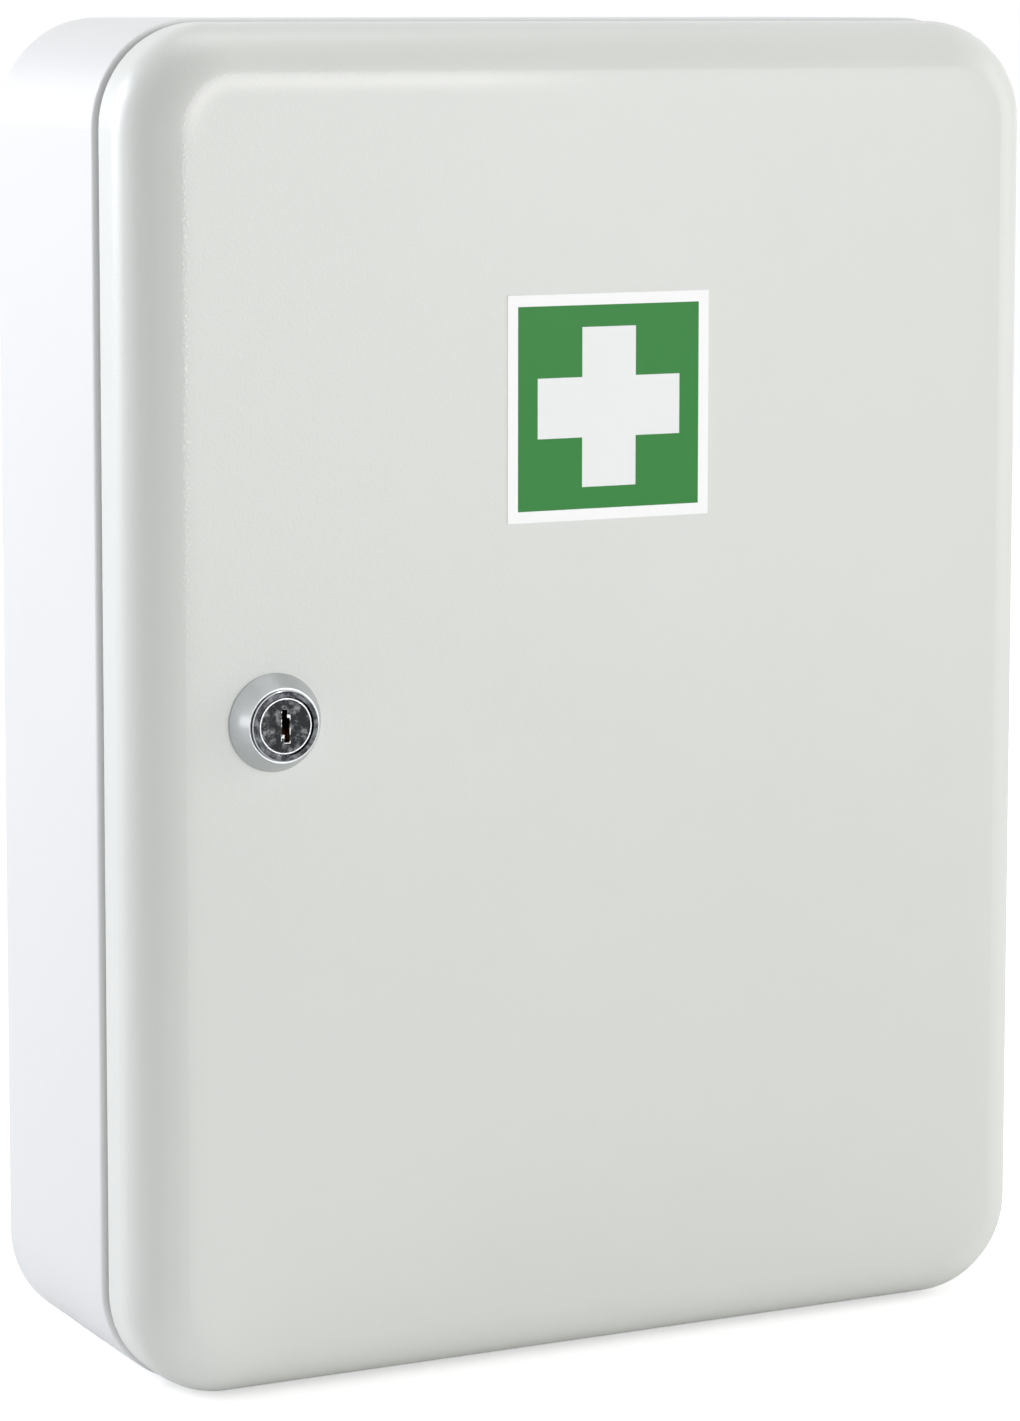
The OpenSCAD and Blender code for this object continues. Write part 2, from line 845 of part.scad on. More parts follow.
cabinet_body();
strike_plate();
shelf(upper_z);  // upper_shelf
shelf(-lower_z);  // lower_shelf
shelf_rail(-1, upper_z);  // shelf_rail_upper_left
shelf_rail(1, upper_z);  // shelf_rail_upper_right
shelf_rail(-1, -lower_z);  // shelf_rail_lower_left
shelf_rail(1, -lower_z);  // shelf_rail_lower_right
shelf_screws();
hinge_arm(1);  // hinge_arm_upper
hinge_arm(-1);  // hinge_arm_lower
hinge_pin(1);  // hinge_pin_upper
hinge_pin(-1);  // hinge_pin_lower
hinge_leaf(1);  // hinge_leaf_upper
hinge_leaf(-1);  // hinge_leaf_lower
door_pan();
first_aid_label();
lock_collar();
lock_housing();
lock_washer();
lock_nut();
lock_plug();
lock_wafers();
wafer_springs();
stop_plate();
lock_cam();
cam_washer();
cam_screw();
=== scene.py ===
# %% [markdown]
# # A lockable medicine cabinet, dressed in Blender
# The cabinet's shape comes from CAD: a pressed steel body and door, hidden hinges, two
# tray shelves and a cam lock. This notebook gives each piece the surface that the real
# one has, and then lights it like a catalogue photograph. CAD and Blender share one frame
# in metres: X runs to the right, Y from the door to the wall and Z up.

# %% Load the fixed frame
import json
from math import cos, pi, radians, sin

import bmesh
import bpy
from mathutils import Matrix, Vector


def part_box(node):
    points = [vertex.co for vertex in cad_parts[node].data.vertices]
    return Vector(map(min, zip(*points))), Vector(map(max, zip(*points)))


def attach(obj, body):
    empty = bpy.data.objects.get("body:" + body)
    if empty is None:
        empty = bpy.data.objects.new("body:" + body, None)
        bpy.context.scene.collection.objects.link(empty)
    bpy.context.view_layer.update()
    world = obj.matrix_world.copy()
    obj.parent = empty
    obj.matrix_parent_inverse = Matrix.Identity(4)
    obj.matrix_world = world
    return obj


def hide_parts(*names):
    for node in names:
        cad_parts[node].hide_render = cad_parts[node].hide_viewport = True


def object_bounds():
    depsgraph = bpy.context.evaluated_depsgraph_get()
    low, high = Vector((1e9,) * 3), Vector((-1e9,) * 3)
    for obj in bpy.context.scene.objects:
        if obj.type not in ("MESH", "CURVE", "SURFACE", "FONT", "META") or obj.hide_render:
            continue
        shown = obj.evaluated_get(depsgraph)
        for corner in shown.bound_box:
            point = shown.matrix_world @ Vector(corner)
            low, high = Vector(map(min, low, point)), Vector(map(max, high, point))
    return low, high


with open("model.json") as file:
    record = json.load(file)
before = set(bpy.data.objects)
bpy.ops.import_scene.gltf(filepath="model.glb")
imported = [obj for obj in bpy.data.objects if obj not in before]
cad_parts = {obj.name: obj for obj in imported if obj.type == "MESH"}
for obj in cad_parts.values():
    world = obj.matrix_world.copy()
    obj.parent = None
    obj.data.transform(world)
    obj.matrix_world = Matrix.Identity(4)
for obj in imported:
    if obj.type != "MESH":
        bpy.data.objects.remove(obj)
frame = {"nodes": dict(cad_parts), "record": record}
nodes = frame["nodes"]
cad_low, cad_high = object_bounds()
MM = 0.001  # one millimetre, in the frame's metres
print("CAD nodes:", len(nodes))
print("Box in mm:", [round(v / MM, 1) for v in cad_high - cad_low])

# %% [markdown]
# ## Colours and nodes
# Shaders work with linear light, but people pick colours as sRGB hex codes, so one function
# turns a hex code into linear numbers. A second function adds one shader node of any kind,
# sets it and wires it up. Its inputs are given in order or by name, and each is a number or
# the node that feeds it, so that a material below reads as a short list of what is mixed
# with what.

# %% Helpers for colours and shader nodes
COLOURS = {"data_type": "RGBA"}  # a Mix node then mixes inputs _6 and _7 into output 2


def colour(code):
    """Linear RGBA of an sRGB hex code such as '#8FA0B1'."""
    channels = [int(code[i:i + 2], 16) / 255 for i in (1, 3, 5)]
    linear = [c / 12.92 if c <= 0.04045 else ((c + 0.055) / 1.055) ** 2.4 for c in channels]
    return (*linear, 1.0)


def add(tree, kind, *values, settings=None, **named):
    """Adds a shader node. 'Math.ADD' is a Math node set to ADD, and _6 is input number 6.
    An input takes a value, a socket, or a node, whose first output is used."""
    kind, _, operation = kind.partition(".")
    made = tree.nodes.new("ShaderNode" + kind)
    for name, value in (settings or {}).items():
        setattr(made, name, value)
    if operation:
        made.operation = operation
    wanted = list(enumerate(values))
    for name, value in named.items():
        wanted.append((int(name[1:]) if name[1:].isdigit() else name.replace("_", " "), value))
    for place, value in wanted:
        if isinstance(value, bpy.types.Node):
            value = value.outputs[0]
        if isinstance(value, bpy.types.NodeSocket):
            tree.links.new(value, made.inputs[place])
        else:
            made.inputs[place].default_value = value
    return made


def new_material(name, **fixed):
    """An empty node material: its tree and its surface shader, with these inputs fixed."""
    material = bpy.data.materials.new(name)
    material.use_nodes = True
    tree = material.node_tree
    tree.nodes.clear()
    output = tree.nodes.new("ShaderNodeOutputMaterial")
    shader = add(tree, "BsdfPrincipled", **fixed)
    tree.links.new(shader.outputs[0], output.inputs[0])
    return material, tree, shader


print("white paper is", [round(c, 2) for c in colour("#F2F2F2")])

# %% [markdown]
# ## Powder coat
# The sheet steel is powder coated: dry polyester powder is sprayed on and melted in an oven.
# It flows into a tough satin film with a faint orange peel, a wave of about two
# millimetres. The door's powder also has a leather grain, of cells a bit under a
# millimetre. Both are relief only, so they go into bump nodes, and the colour hardly changes.

# %% Powder coat, smooth and grained
ORANGE_PEEL = 2.2 * MM    # length of the film's soft waves
PEEL_H = 0.02 * MM        # their height
UNEVEN = 1 / 14           # metres between thicker and thinner areas of the film
GRAIN = 0.85 * MM         # width of one cell of the leather grain
GRAIN_H = 0.031 * MM      # its height
WRINKLE, BEND = 0.7, 0.5  # how often and how far the cells are bent, in cells


def powder_coat(name, code, roughness):
    """Satin polyester powder on steel: the orange peel makes its highlights soft and
    slightly wavy, and the tone differs by one or two hundredths over the sheet."""
    material, tree, shader = new_material(name, Roughness=roughness, IOR=1.5)
    place = add(tree, "TexCoord").outputs["Object"]
    waves = add(tree, "TexNoise", Vector=place, Scale=1 / ORANGE_PEEL, Detail=1.0)
    peel = add(tree, "Bump", Height=waves, Distance=PEEL_H, Strength=1.0)
    tree.links.new(peel.outputs[0], shader.inputs["Normal"])
    cloud = add(tree, "TexNoise", Vector=place, Scale=1 / UNEVEN, Detail=2.0)
    shade = add(tree, "MapRange", cloud, To_Min=0.985, To_Max=1.015)
    tint = add(tree, "Mix", settings={**COLOURS, "blend_type": "MULTIPLY"},
               _0=1.0, _6=colour(code), _7=shade)
    tree.links.new(tint.outputs[2], shader.inputs["Base Color"])
    return material, tree, shader, peel


def leather_grain(tree, place, strength):
    """Relief of the powder's wrinkled cells; the strength may vary over the sheet."""
    warp = add(tree, "TexNoise", Vector=place, Scale=WRINKLE / GRAIN, Detail=2.0)
    bent = add(tree, "VectorMath.SCALE", warp.outputs["Color"], Scale=BEND * GRAIN)
    moved = add(tree, "VectorMath.ADD", place, bent)
    cells = add(tree, "TexVoronoi", settings={"feature": "SMOOTH_F1"},
                Vector=moved, Scale=1 / GRAIN, Smoothness=0.6)
    return add(tree, "Bump", settings={"invert": True},
               Height=cells.outputs["Distance"], Distance=GRAIN_H, Strength=strength)


body_coat, *_ = powder_coat("satin_polyester_powder", "#DFE0E0", 0.42)
print("body coat:", body_coat.name)

# %% [markdown]
# ## The door's crease
# The press leaves a crease where the door's rounded edge meets its flat front. On most of
# the door the sheet is a little soft there, and only at the upper left is it crisp. The CAD
# door has the same hard crease all round. New rings of faces could round it, but the CAD
# mesh stays as it is, so a bump softens it. That needs the distance from the crease, which
# is a rounded rectangle on the door's front.

# %% Distance from a rounded rectangle
CREASE_X, CREASE_Z, CREASE_R = 121.6 * MM, 166.6 * MM, 14.6 * MM  # as the CAD door has it
CORNER = (CREASE_X - CREASE_R, 0, CREASE_Z - CREASE_R)            # middle of its corner arc


def inside_crease(tree, place):
    """Distance in metres from the crease: above 0 on the flat front, below 0 outside."""
    flat = add(tree, "VectorMath.MULTIPLY", place, (1, 0, 1))
    quarter = add(tree, "VectorMath.ABSOLUTE", flat)
    past = add(tree, "VectorMath.SUBTRACT", quarter, CORNER)
    round_off = add(tree, "VectorMath.MAXIMUM", past, (0, 0, 0))
    away = add(tree, "VectorMath.LENGTH", round_off).outputs["Value"]
    past_side, _, past_top = add(tree, "SeparateXYZ", past).outputs
    within = add(tree, "Math.MINIMUM", add(tree, "Math.MAXIMUM", past_side, past_top), 0.0)
    return add(tree, "Math.SUBTRACT", CREASE_R, add(tree, "Math.ADD", away, within))


print("crease corner in mm:", [round(v / MM) for v in CORNER])

# %% Where the crease is crisp, and how soft it is elsewhere
CRISP_X = 5 * MM, -45 * MM   # the crease turns crisp from here to here, leftwards
CRISP_Z = -10 * MM, 80 * MM  # and from here to here, upwards
TILT = 0.13                  # half of the crease's 15 degrees, as a slope
SOFT = 3 * MM                # reach of the softening on both sides of the crease
CRISPER = 0.6                # part of that reach that a crisp crease loses


def fade(tree, value, start, end):
    """Smooth step of a number: 0 at start and 1 at end."""
    return add(tree, "MapRange", value, start, end,
               settings={"interpolation_type": "SMOOTHSTEP"})


door_coat, tree, shader, peel = powder_coat("leather_grain_polyester_powder", "#DEE0DC", 0.36)
place = add(tree, "TexCoord").outputs["Object"]
side, _, rise = add(tree, "SeparateXYZ", place).outputs
depth = inside_crease(tree, place)
crisp = add(tree, "Math.MULTIPLY", fade(tree, side, *CRISP_X), fade(tree, rise, *CRISP_Z))
reach = add(tree, "Math.SUBTRACT", SOFT, add(tree, "Math.MULTIPLY", crisp, CRISPER * SOFT))
steps = add(tree, "Math.DIVIDE", add(tree, "Math.ABSOLUTE", depth), reach)
near = add(tree, "Math.EXPONENT", add(tree, "Math.MULTIPLY", steps, -1.0))
soften = add(tree, "Math.MULTIPLY", add(tree, "Math.MULTIPLY", near, reach), -TILT)
print("reach of the soft crease in mm:", round(SOFT / MM, 1),
      "and of the crisp one:", round((1 - CRISPER) * SOFT / MM, 1))

# %% [markdown]
# ### The powder's ridge
# Where the crease is crisp, the powder has gathered on it: a soft swell along the top, and
# a thin broken ridge down the lock side. One mask raises it as relief and also lightens
# its colour as a painted highlight, so that height and painted highlight agree.

# %% The powder's ridge on the crisp crease, with its painted highlight
LUMP = 0.9 * MM               # size of the lumps that break the ridge
LUMP_EDGE = 0.48, 0.66        # noise levels between which a lump begins
RIDGE = 0.4 * MM, 0.9 * MM    # the broken ridge: distance from the crease, half width
SWELL = 2.4 * MM, 2.4 * MM    # the soft swell: the same two
SWELL_Z = 146 * MM, 160 * MM  # the swell is only at the door's top
RIDGE_PART, SWELL_PART = 0.6, 0.55  # how thick each is, of the thickest powder
RIDGE_H = 0.15 * MM           # height of the thickest powder


def hump(tree, value, middle, half_width):
    """A bell curve of a number, 1 at its middle."""
    off = add(tree, "Math.SUBTRACT", value, middle)
    across = add(tree, "Math.DIVIDE", off, half_width)
    square = add(tree, "Math.MULTIPLY", across, across)
    return add(tree, "Math.EXPONENT", add(tree, "Math.MULTIPLY", square, -1.0))


lumps = add(tree, "TexNoise", Vector=place, Scale=1 / LUMP, Detail=2.0)
broken = add(tree, "Math.MULTIPLY", hump(tree, depth, *RIDGE), fade(tree, lumps, *LUMP_EDGE))
swell = add(tree, "Math.MULTIPLY", hump(tree, depth, *SWELL), fade(tree, rise, *SWELL_Z))
thickest = add(tree, "Math.MAXIMUM", add(tree, "Math.MULTIPLY", broken, RIDGE_PART),
               add(tree, "Math.MULTIPLY", swell, SWELL_PART))
ridge = add(tree, "Math.MULTIPLY", crisp, thickest)
height = add(tree, "Math.ADD", soften, add(tree, "Math.MULTIPLY", ridge, RIDGE_H))
# Painted highlight: where the ridge is, its colour is mixed towards near white.
painted_ridge_highlight = add(tree, "Mix", settings=COLOURS, _0=ridge,
                 _6=shader.inputs["Base Color"].links[0].from_socket, _7=colour("#F6F7F3"))
tree.links.new(painted_ridge_highlight.outputs[2], shader.inputs["Base Color"])
crease = add(tree, "Bump", Height=height, Distance=1.0, Strength=1.0, Normal=peel)
print("ridge height in mm:", round(RIDGE_H / MM, 2))

# %% [markdown]
# ### The grain's strength
# The leather grain is plainest at the door's upper left and has flowed flatter towards the
# lower right. A second material could show that, but its border would be seen, so one
# soft mask changes the strength of the relief instead.

# %% The leather grain over the crease
PLAIN_X = 30 * MM, -110 * MM  # the grain grows plainer from here to here, leftwards
PLAIN_Z = -110 * MM, 40 * MM  # and from here to here, upwards
FAINT = 0.2                   # strength of the grain where it shows least

plain = add(tree, "Math.MULTIPLY", fade(tree, side, *PLAIN_X), fade(tree, rise, *PLAIN_Z))
shown = add(tree, "Math.ADD", FAINT, add(tree, "Math.MULTIPLY", plain, 1 - FAINT))
grain = leather_grain(tree, place, shown)
tree.links.new(crease.outputs[0], grain.inputs["Normal"])
tree.links.new(grain.outputs[0], shader.inputs["Normal"])
print("door coat nodes:", len(tree.nodes))

# %% [markdown]
# ## Metals
# A metal has no colour under its surface: its whole look is how sharply it mirrors the
# room. So each metal below is one tint, one roughness and one fine relief that says how
# it was worked: plated, drawn or stamped.

# %% Plated, drawn and stamped metal
WEAR = 0.8, 1.2  # the marks make the roughness this much smaller or larger


def metal(name, code, roughness, relief, spread):
    """Bare or plated metal with small worked marks. relief and spread are in metres."""
    material, tree, shader = new_material(name, Base_Color=colour(code), Metallic=1.0)
    place = add(tree, "TexCoord").outputs["Object"]
    marks = add(tree, "TexNoise", Vector=place, Scale=1 / spread, Detail=3.0)
    bump = add(tree, "Bump", Height=marks, Distance=relief, Strength=1.0)
    tree.links.new(bump.outputs[0], shader.inputs["Normal"])
    worn = add(tree, "MapRange", marks, To_Min=WEAR[0] * roughness, To_Max=WEAR[1] * roughness)
    tree.links.new(worn.outputs[0], shader.inputs["Roughness"])
    return material


# Zinc is plated on in a bath: fine crystals blur its bluish grey shine.
zinc = metal("bright_zinc_plate", "#C3C8CB", 0.34, 0.01 * MM, 0.7 * MM)
# Bright steel is drawn through a die, which leaves it smooth and clear.
bright_steel = metal("drawn_bright_steel", "#C8C8C6", 0.22, 0.003 * MM, 0.5 * MM)
# The wafers are stamped from brass sheet: warm yellow, with the dull faces of the roll.
brass = metal("stamped_brass", "#D8B25C", 0.28, 0.005 * MM, 0.6 * MM)
print("plain metals:", zinc.name, bright_steel.name, brass.name)

# %% [markdown]
# ## The lock's three metals
# The lock has three finishes. The collar is turned and nickel plated, and the tool left
# fine rings round the axis. The head is a polished casting, with a painted highlight on
# the front of its rim and a painted dark reflection, mottled with stains, in the flat ring.
# The plug's face is chrome painted dark as a painted dark reflection, stained and scratched
# by years of keys, with a painted highlight on its bevel, painted glints at the keyway's
# edge, and brass inside the lower half of its keyway. A painted picture could hold all
# that, but it would blur close up. Most of it depends on the distance from the lock's
# axis, so that is worked out first.

# %% Distance from the lock's axis
collar_low, collar_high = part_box("lock_collar")
AXIS = (collar_low + collar_high) / 2


def from_axis(tree, place):
    """Distance in metres from the lock's axis, as a socket."""
    moved = add(tree, "VectorMath.SUBTRACT", place, (AXIS.x, 0, AXIS.z))
    flat = add(tree, "VectorMath.MULTIPLY", moved, (1, 0, 1))
    return add(tree, "VectorMath.LENGTH", flat).outputs["Value"]


print("lock axis in mm:", round(AXIS.x / MM, 1), round(AXIS.z / MM, 1))

# %% [markdown]
# ### The collar
# The collar is turned on a lathe and plated in a satin nickel bath, which keeps the tool's
# rings and gives a wide, soft highlight. Grooves that fine would need a huge mesh, so a
# noise of one number, the distance from the axis, draws them as relief. The real rings are
# finer than the picture can show, so these are 0.5 mm wide.

# %% Turned nickel of the collar
RING_W, RING_H = 0.5 * MM, 0.012 * MM

satin_nickel, tree, shader = new_material(
    "satin_nickel_plate", Base_Color=colour("#C2C5C7"), Metallic=1.0, Roughness=0.3)
place = add(tree, "TexCoord").outputs["Object"]
rings = add(tree, "TexNoise", settings={"noise_dimensions": "1D"},
            W=from_axis(tree, place), Scale=1 / RING_W, Detail=2.0)
turned = add(tree, "Bump", Height=rings, Distance=RING_H, Strength=1.0)
tree.links.new(turned.outputs[0], shader.inputs["Normal"])
print("collar metal:", satin_nickel.name)

# %% [markdown]
# ### The head and the barrel
# Chrome is plated over the polished casting and mirrors the room sharply. The ring round
# the plug is painted dark as a painted dark reflection, mottled with stains of dirt, and
# the front of the rim carries a painted highlight, while the barrel behind the door keeps
# the plain bright chrome.
# Head and barrel are one piece, so masks of radius and depth part their looks.

# %% Polished chrome of the head and the barrel, with painted highlight and dark reflection
FACE_Y = -107.0 * MM               # depth of the plug's face
RIM_R = 9.0 * MM, 9.1 * MM         # the ring ends and the bright rim begins
RIM_Y = FACE_Y + 0.3 * MM, FACE_Y  # and only the front of the rim is bright
BARREL_Y = -101 * MM, -100 * MM    # the barrel begins behind the door's front
GRIME = 2.4 * MM                   # size of the stains in the ring
GRIME_EDGE = 0.4, 0.68             # noise levels between dirty and bare

lock_chrome, tree, shader = new_material("polished_chrome_plate", Metallic=1.0, Roughness=0.16)
place = add(tree, "TexCoord").outputs["Object"]
side, behind, rise = add(tree, "SeparateXYZ", place).outputs
radius = from_axis(tree, place)
barrel = fade(tree, behind, *BARREL_Y)
# The front of the rim gets a painted highlight; the barrel keeps its plain bright chrome.
rim = add(tree, "Math.MULTIPLY", fade(tree, radius, *RIM_R), fade(tree, behind, *RIM_Y))
bright = add(tree, "Math.MAXIMUM", rim, barrel)
grime = add(tree, "TexNoise", Vector=place, Scale=1 / GRIME, Detail=5.0, Roughness=0.65)
# The ring: a painted dark reflection, mottled lighter with stains by the grime noise.
ring_dark_reflection_and_stains = add(tree, "Mix", settings=COLOURS, _0=fade(tree, grime, *GRIME_EDGE),
           _6=colour("#36373A"), _7=colour("#83868A"))
# Painted highlight on the rim's front, plain bright chrome on the barrel.
finish = add(tree, "Mix", settings=COLOURS, _0=bright,
             _6=ring_dark_reflection_and_stains.outputs[2], _7=colour("#D2D3D5"))
tree.links.new(finish.outputs[2], shader.inputs["Base Color"])
print("head metal:", lock_chrome.name)

# %% [markdown]
# ### The barrel's thread
# The nut runs on a fine thread, cut round the barrel but not on its two flats. A modelled
# screw line would be heavy for a place so little seen, so a bump does it: a zigzag along
# the axis that shifts by one pitch in a full turn.

# %% The barrel's thread
BARREL_R = 8.25 * MM
THREAD = 1 * MM                                     # pitch of the thread
CUT_R = BARREL_R - 0.06 * MM, BARREL_R - 0.02 * MM  # its mask begins, is full

beside = add(tree, "Math.SUBTRACT", side, AXIS.x)
turn = add(tree, "Math.DIVIDE", add(tree, "Math.ARCTAN2", rise, beside), 2 * pi)
pitches = add(tree, "Math.ADD", add(tree, "Math.DIVIDE", behind, THREAD), turn)
flank = add(tree, "Math.PINGPONG", pitches, 0.5)
on_thread = add(tree, "Math.MULTIPLY", barrel, fade(tree, radius, *CUT_R))
thread = add(tree, "Bump", Height=add(tree, "Math.MULTIPLY", flank, on_thread),
             Distance=THREAD, Strength=1.0)
tree.links.new(thread.outputs[0], shader.inputs["Normal"])
print("thread pitch in mm:", THREAD / MM)

# %% [markdown]
# ### The plug's face
# The plug's face is chrome painted dark, as a painted dark reflection. Years of keys stain
# and dent it, so its reflections break up, and the bevel round it carries a painted
# highlight. One noise gives both the stains and the dents, because on the real face
# they lie in the same places.

# %% Worn chrome of the plug's face, with painted dark reflection and painted highlight
STAIN = 1.8 * MM               # size of the stains
STAIN_EDGE = 0.45, 0.78        # noise levels between stained and bare
DENT_H = 0.03 * MM             # depth of the dents
BEVEL_R = 6.9 * MM, 6.98 * MM  # the face ends and the bright bevel begins

plug_chrome, tree, shader = new_material("worn_chrome_with_painted_reflections", Metallic=1.0, Roughness=0.2)
place = add(tree, "TexCoord").outputs["Object"]
side, behind, rise = add(tree, "SeparateXYZ", place).outputs
stain = add(tree, "TexNoise", Vector=place, Scale=1 / STAIN, Detail=5.0, Roughness=0.65)
# Painted dark reflection over the face, mottled lighter by the stains.
face = add(tree, "Mix", settings=COLOURS, _0=fade(tree, stain, *STAIN_EDGE),
           _6=colour("#2B2C2E"), _7=colour("#8A8C8E"))
# Mask of the painted highlight on the bevel round the face.
painted_bevel_highlight = fade(tree, from_axis(tree, place), *BEVEL_R)
dents = add(tree, "Bump", Height=stain, Distance=DENT_H, Strength=1.0)
tree.links.new(dents.outputs[0], shader.inputs["Normal"])
print("plug metal:", plug_chrome.name)

# %% [markdown]
# ### The keyway
# Painted glints, in the bevel's bright colour, lie in spots along the keyway's edge. The
# wafers lie deep in the slot, and in the photograph their brass shows in its lower half,
# so the slot's walls turn to brass there. Both need the distance from the slot, which is
# that from a rectangle.

# %% Painted glints on the keyway's edge and the brass inside it
KEY_W, KEY_H = 2.2 * MM, 8.6 * MM                 # the slot's width and height
# The band of the painted glints along the slot's edge: where it begins and is full.
GLINT_BAND = 0.28 * MM, 0.16 * MM                     # the rubbed edge begins, is full
CHIP, CHIP_EDGE = 1.3 * MM, (0.5, 0.62)           # size and noise levels of its spots
BRASS_Y = FACE_Y + 0.05 * MM, FACE_Y + 0.25 * MM  # the brass begins, is full, inwards
BRASS_Z = -0.3 * MM, -1.2 * MM                    # and downwards
BRASS_EDGE = 0.2 * MM, 0.1 * MM                   # and towards the slot

beside = add(tree, "Math.ABSOLUTE", add(tree, "Math.SUBTRACT", side, AXIS.x))
off_side = add(tree, "Math.SUBTRACT", beside, KEY_W / 2)
off_end = add(tree, "Math.SUBTRACT", add(tree, "Math.ABSOLUTE", rise), KEY_H / 2)
off_key = add(tree, "Math.MAXIMUM", off_side, off_end)
chips = add(tree, "TexNoise", Vector=place, Scale=1 / CHIP, Detail=1.0)
# Painted glints in spots along the keyway's edge.
painted_keyway_glints = add(tree, "Math.MULTIPLY", fade(tree, off_key, *GLINT_BAND), fade(tree, chips, *CHIP_EDGE))
# The painted highlight's colour on the bevel and the glints.
polished = add(tree, "Mix", settings=COLOURS, _0=add(tree, "Math.MAXIMUM", painted_bevel_highlight, painted_keyway_glints),
               _6=face.outputs[2], _7=colour("#D9DADC"))
below = add(tree, "Math.MULTIPLY", fade(tree, behind, *BRASS_Y), fade(tree, rise, *BRASS_Z))
in_slot = add(tree, "Math.MULTIPLY", below, fade(tree, off_key, *BRASS_EDGE))
finish = add(tree, "Mix", settings=COLOURS, _0=in_slot,
             _6=polished.outputs[2], _7=colour("#F0CF7C"))
tree.links.new(finish.outputs[2], shader.inputs["Base Color"])
print("plug nodes:", len(tree.nodes))

# %% [markdown]
# ### The lock's edges
# A machined or cast edge is never knife sharp: a tenth or two of a millimetre catches
# light. The CAD solids have sharp edges, and a bevel modifier rounds them for the eye
# without a change to the solids themselves.

# %% Rounded edges on the lock
EDGES = {"lock_collar": 0.15 * MM, "lock_housing": 0.2 * MM, "lock_plug": 0.15 * MM}
for name, width in EDGES.items():
    edge = nodes[name].modifiers.new("rounded_edges", "BEVEL")
    edge.width = width
    edge.segments = 2
    edge.limit_method = "ANGLE"
    edge.angle_limit = radians(35)
print("pieces with rounded edges:", len(EDGES))

# %% [markdown]
# ## A finish for every CAD piece
# The record names a material slot for each piece, so one table from slot to material
# dresses them all. The label is left out, because the next step makes it anew.

# %% Give the CAD nodes their materials
FINISH = {
    "powder_coat_smooth": body_coat,
    "powder_coat_textured": door_coat,
    "powder_coat_inner": body_coat,
    "zinc_steel": zinc,
    "polished_steel": bright_steel,
    "satin_nickel": satin_nickel,
    "lock_chrome": lock_chrome,
    "plug_chrome": plug_chrome,
    "wafer_brass": brass,
}
slot_of = {s["node"]: s["material_slot"] for s in frame["record"]["subparts"]}
dressed = [name for name in nodes if slot_of[name] in FINISH]
for name in dressed:
    nodes[name].data.materials.clear()
    nodes[name].data.materials.append(FINISH[slot_of[name]])
print("nodes with a finish:", len(dressed))

# %% [markdown]
# ## The sign label
# The label is printed vinyl under a matt laminate: a white sheet with a green field and a
# white cross. A printed edge is perfectly sharp, so the label is one flat mesh whose faces
# are cut along the print, and each face takes the ink that it shows. That is sharper than
# any texture.

# %% Vinyl and inks
RIPPLE, RIPPLE_H = 6 * MM, 0.02 * MM  # the waves of a sheet that was stuck on by hand


def ink(name, code, shine):
    """Screen ink under a clear matt laminate, which hardly shines over the dark ink."""
    material, tree, shader = new_material(name, Base_Color=colour(code), Roughness=0.38,
                                          IOR=1.46, Specular_IOR_Level=shine)
    place = add(tree, "TexCoord").outputs["Object"]
    waves = add(tree, "TexNoise", Vector=place, Scale=1 / RIPPLE, Detail=1.0)
    ripple = add(tree, "Bump", Height=waves, Distance=RIPPLE_H, Strength=1.0)
    tree.links.new(ripple.outputs[0], shader.inputs["Normal"])
    return material


WHITE_SHEET, GREEN_FIELD, WHITE_CROSS = range(3)
INKS = (ink("white_vinyl", "#FFFFFF", 0.5),
        ink("green_screen_ink", "#2B8436", 0.25),
        ink("white_screen_ink", "#F6F7F7", 0.25))
print("inks:", [material.name for material in INKS])

# %% Printed vinyl label
SHEET, FIELD, ARM, HALF_ARM = 30, 27, 21.2, 8  # from the label's middle to each edge, in mm
CUTS = [-SHEET, -FIELD, -ARM, -HALF_ARM, HALF_ARM, ARM, FIELD, SHEET]
label_low, label_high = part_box("first_aid_label")
label_mid = (label_low + label_high) / 2


def ink_at(x, z):
    """Which ink the print has at a place, in mm from the label's middle."""
    far, close = max(abs(x), abs(z)), min(abs(x), abs(z))
    if far > FIELD:
        return WHITE_SHEET
    return WHITE_CROSS if far < ARM and close < HALF_ARM else GREEN_FIELD


mesh = bpy.data.meshes.new("sign_label")
bm = bmesh.new()
grid = [[bm.verts.new((label_mid.x + x * MM, label_low.y, label_mid.z + z * MM))
         for z in CUTS] for x in CUTS]
for i in range(len(CUTS) - 1):
    for j in range(len(CUTS) - 1):
        face = bm.faces.new([grid[i][j], grid[i + 1][j], grid[i + 1][j + 1], grid[i][j + 1]])
        face.material_index = ink_at((CUTS[i] + CUTS[i + 1]) / 2, (CUTS[j] + CUTS[j + 1]) / 2)
rim = [e for e in bm.edges if e.is_boundary]
wall = bmesh.ops.extrude_edge_only(bm, edges=rim)["geom"]
foot = [g for g in wall if isinstance(g, bmesh.types.BMVert)]
bmesh.ops.translate(bm, verts=foot, vec=(0, label_high.y - label_low.y, 0))
bmesh.ops.recalc_face_normals(bm, faces=bm.faces)
bm.to_mesh(mesh)
bm.free()
for material in INKS:
    mesh.materials.append(material)
label = bpy.data.objects.new("sign_label", mesh)
bpy.context.scene.collection.objects.link(label)
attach(label, "door")
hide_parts("first_aid_label")
print("label faces:", len(mesh.polygons))

# %% [markdown]
# ## The camera
# The photograph was solved for its camera: the seam, the outline, the lock and the label
# give where the lens stood and how it was turned. The lens is long, about 118 mm on a
# 36 mm sensor. Upright edges run parallel in the photograph, which takes a large vertical
# shift. Other views would keep that shift and lose the cabinet, so this camera shifts by
# an eighth of the picture only and looks down a little instead.

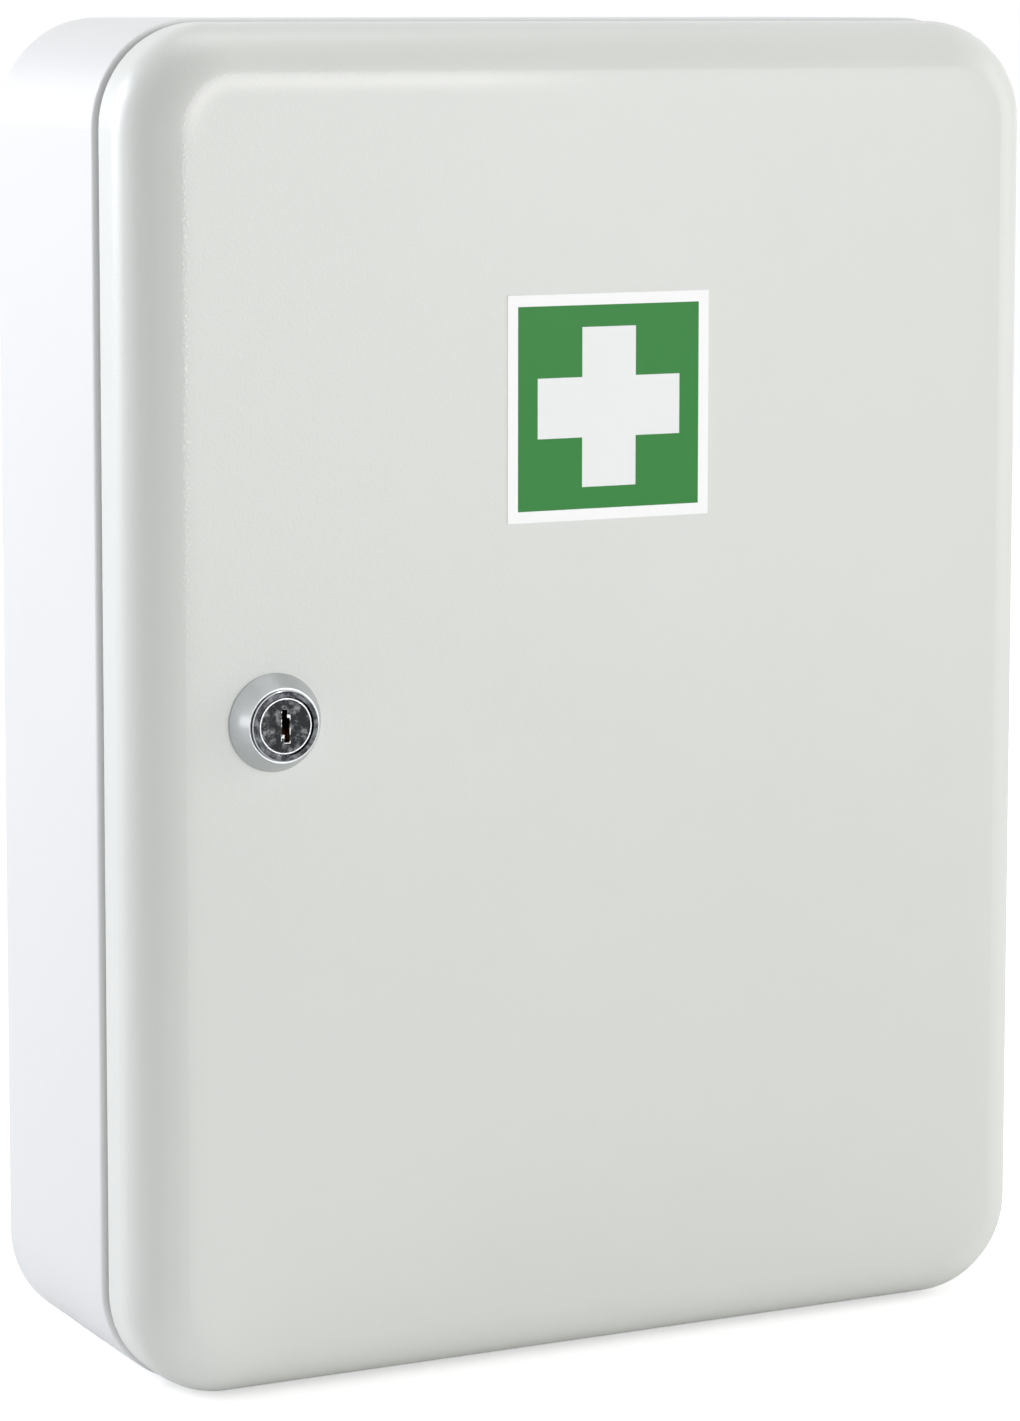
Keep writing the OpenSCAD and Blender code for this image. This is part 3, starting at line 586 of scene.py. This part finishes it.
# %% Camera at the photograph's viewpoint
PHOTO_H = 1421                                # height of the photograph in pixels
SENSOR = 36                                   # height of the camera's sensor in mm
FOCAL = 4664.6                                # focal length in pixels of the photograph
AXIS_ROW = 526.0                              # row that the lens axis meets
YAW, PITCH, ROLL = 0.46597, 0.11294, 0.00085  # how the lens is turned, in radians
DOOR_FRONT = Vector((0, -100 * MM, 0))        # middle of the door's flat front
CABINET_H = 360 * MM
STAND = Vector((-1.60109, -3.02228, 0.51562)) * CABINET_H + DOOR_FRONT  # in front, left

ahead = Vector((sin(YAW), cos(YAW), 0))
across = Vector((cos(YAW), -sin(YAW), 0))
upright = Vector((0, 0, 1))
look = ahead * cos(PITCH) - upright * sin(PITCH)
crown = ahead * sin(PITCH) + upright * cos(PITCH)
right = across * cos(ROLL) + crown * sin(ROLL)
up = crown * cos(ROLL) - across * sin(ROLL)

lens = bpy.data.cameras.new("camera")
lens.lens = FOCAL * SENSOR / PHOTO_H
lens.shift_y = (AXIS_ROW - PHOTO_H / 2) / PHOTO_H
camera = bpy.data.objects.new("camera", lens)
camera.matrix_world = Matrix((right, up, -look)).transposed().to_4x4()
camera.location = STAND
bpy.context.scene.collection.objects.link(camera)
bpy.context.scene.camera = camera
print("lens in mm:", round(lens.lens, 1), "shift:", round(lens.shift_y, 3))

# %% [markdown]
# ## Floor and light
# A pale floor carries the soft shadow, and softboxes do the rest. The photograph's left
# side is nearly white while the rounded edge next to it is darker than the front. Only a
# light from the left and a little behind does that. A second lamp from the right front
# lights the door, softer ones fill from the right and from above, and a narrow strip at
# the left draws a line on the lock's collar. The room itself is bright for reflections and
# dim as a light, so that satin paint keeps its shape.

# %% Floor
# A painted board is matt, so it shows a soft shadow and no reflection of the cabinet.
FLOOR_SIZE = 4    # metres
FLOOR_LIFT = 0.5  # light for the camera's rays only, so that the floor meets the backdrop

bpy.ops.mesh.primitive_plane_add(size=FLOOR_SIZE, location=(0, 0, cad_low.z))
floor = bpy.context.object
floor.name = "studio_floor"
board, tree, shader = new_material("studio_floor", Base_Color=colour("#FCFCFB"), Roughness=0.9)
seen = add(tree, "LightPath").outputs["Is Camera Ray"]
lift = add(tree, "Emission", Strength=add(tree, "Math.MULTIPLY", seen, FLOOR_LIFT))
both = add(tree, "AddShader", shader, lift)
output = shader.outputs[0].links[0].to_node
tree.links.new(both.outputs[0], output.inputs[0])
floor.data.materials.append(board)
print("floor height in mm:", round(floor.location.z / MM, 1))

# %% Softboxes
def softbox(name, place, size, watts, code="#FFFFFF"):
    """A rectangular lamp that faces the cabinet."""
    lamp = bpy.data.lights.new(name, "AREA")
    lamp.shape = "RECTANGLE"
    lamp.size, lamp.size_y = size
    lamp.energy = watts
    lamp.color = colour(code)[:3]
    holder = bpy.data.objects.new(name, lamp)
    holder.location = place
    holder.rotation_euler = (-Vector(place)).to_track_quat("-Z", "Y").to_euler()
    bpy.context.scene.collection.objects.link(holder)
    return holder


lamps = [
    softbox("back_left_softbox", place=(-1.7, 1.7, 0.7), size=(1.0, 1.4), watts=45,
            code="#F5F7FF"),
    softbox("left_strip", place=(-2.2, 0.45, 0.05), size=(0.25, 1.0), watts=2.3),
    softbox("front_softbox", place=(1.1, -2.6, 0.4), size=(1.0, 1.2), watts=23),
    softbox("right_softbox", place=(2.3, -0.9, 0.6), size=(1.4, 1.6), watts=13.5),
    softbox("top_softbox", place=(0.1, 0.2, 2.2), size=(1.4, 1.4), watts=17),
]
print("lamps:", [lamp.name for lamp in lamps])

# %% Backdrop
ROOM_LIGHT = 0.34  # how strongly the white room lights matt surfaces
ROOM_SEEN = 1.0    # how bright it looks to the camera and in reflections

world = bpy.data.worlds.new("studio")
bpy.context.scene.world = world
world.use_nodes = True
tree = world.node_tree
tree.nodes.clear()
rays = add(tree, "LightPath").outputs
direct = add(tree, "Math.MAXIMUM", rays["Is Camera Ray"], rays["Is Glossy Ray"])
seen = add(tree, "Math.MAXIMUM", direct, rays["Is Transmission Ray"])
level = add(tree, "MapRange", seen, To_Min=ROOM_LIGHT, To_Max=ROOM_SEEN)
sky = add(tree, "Background", Color=(1, 1, 1, 1), Strength=level)
output = tree.nodes.new("ShaderNodeOutputWorld")
tree.links.new(sky.outputs[0], output.inputs[0])
bpy.context.scene.view_settings.view_transform = "Standard"
print("room light:", ROOM_LIGHT, "seen as:", ROOM_SEEN)
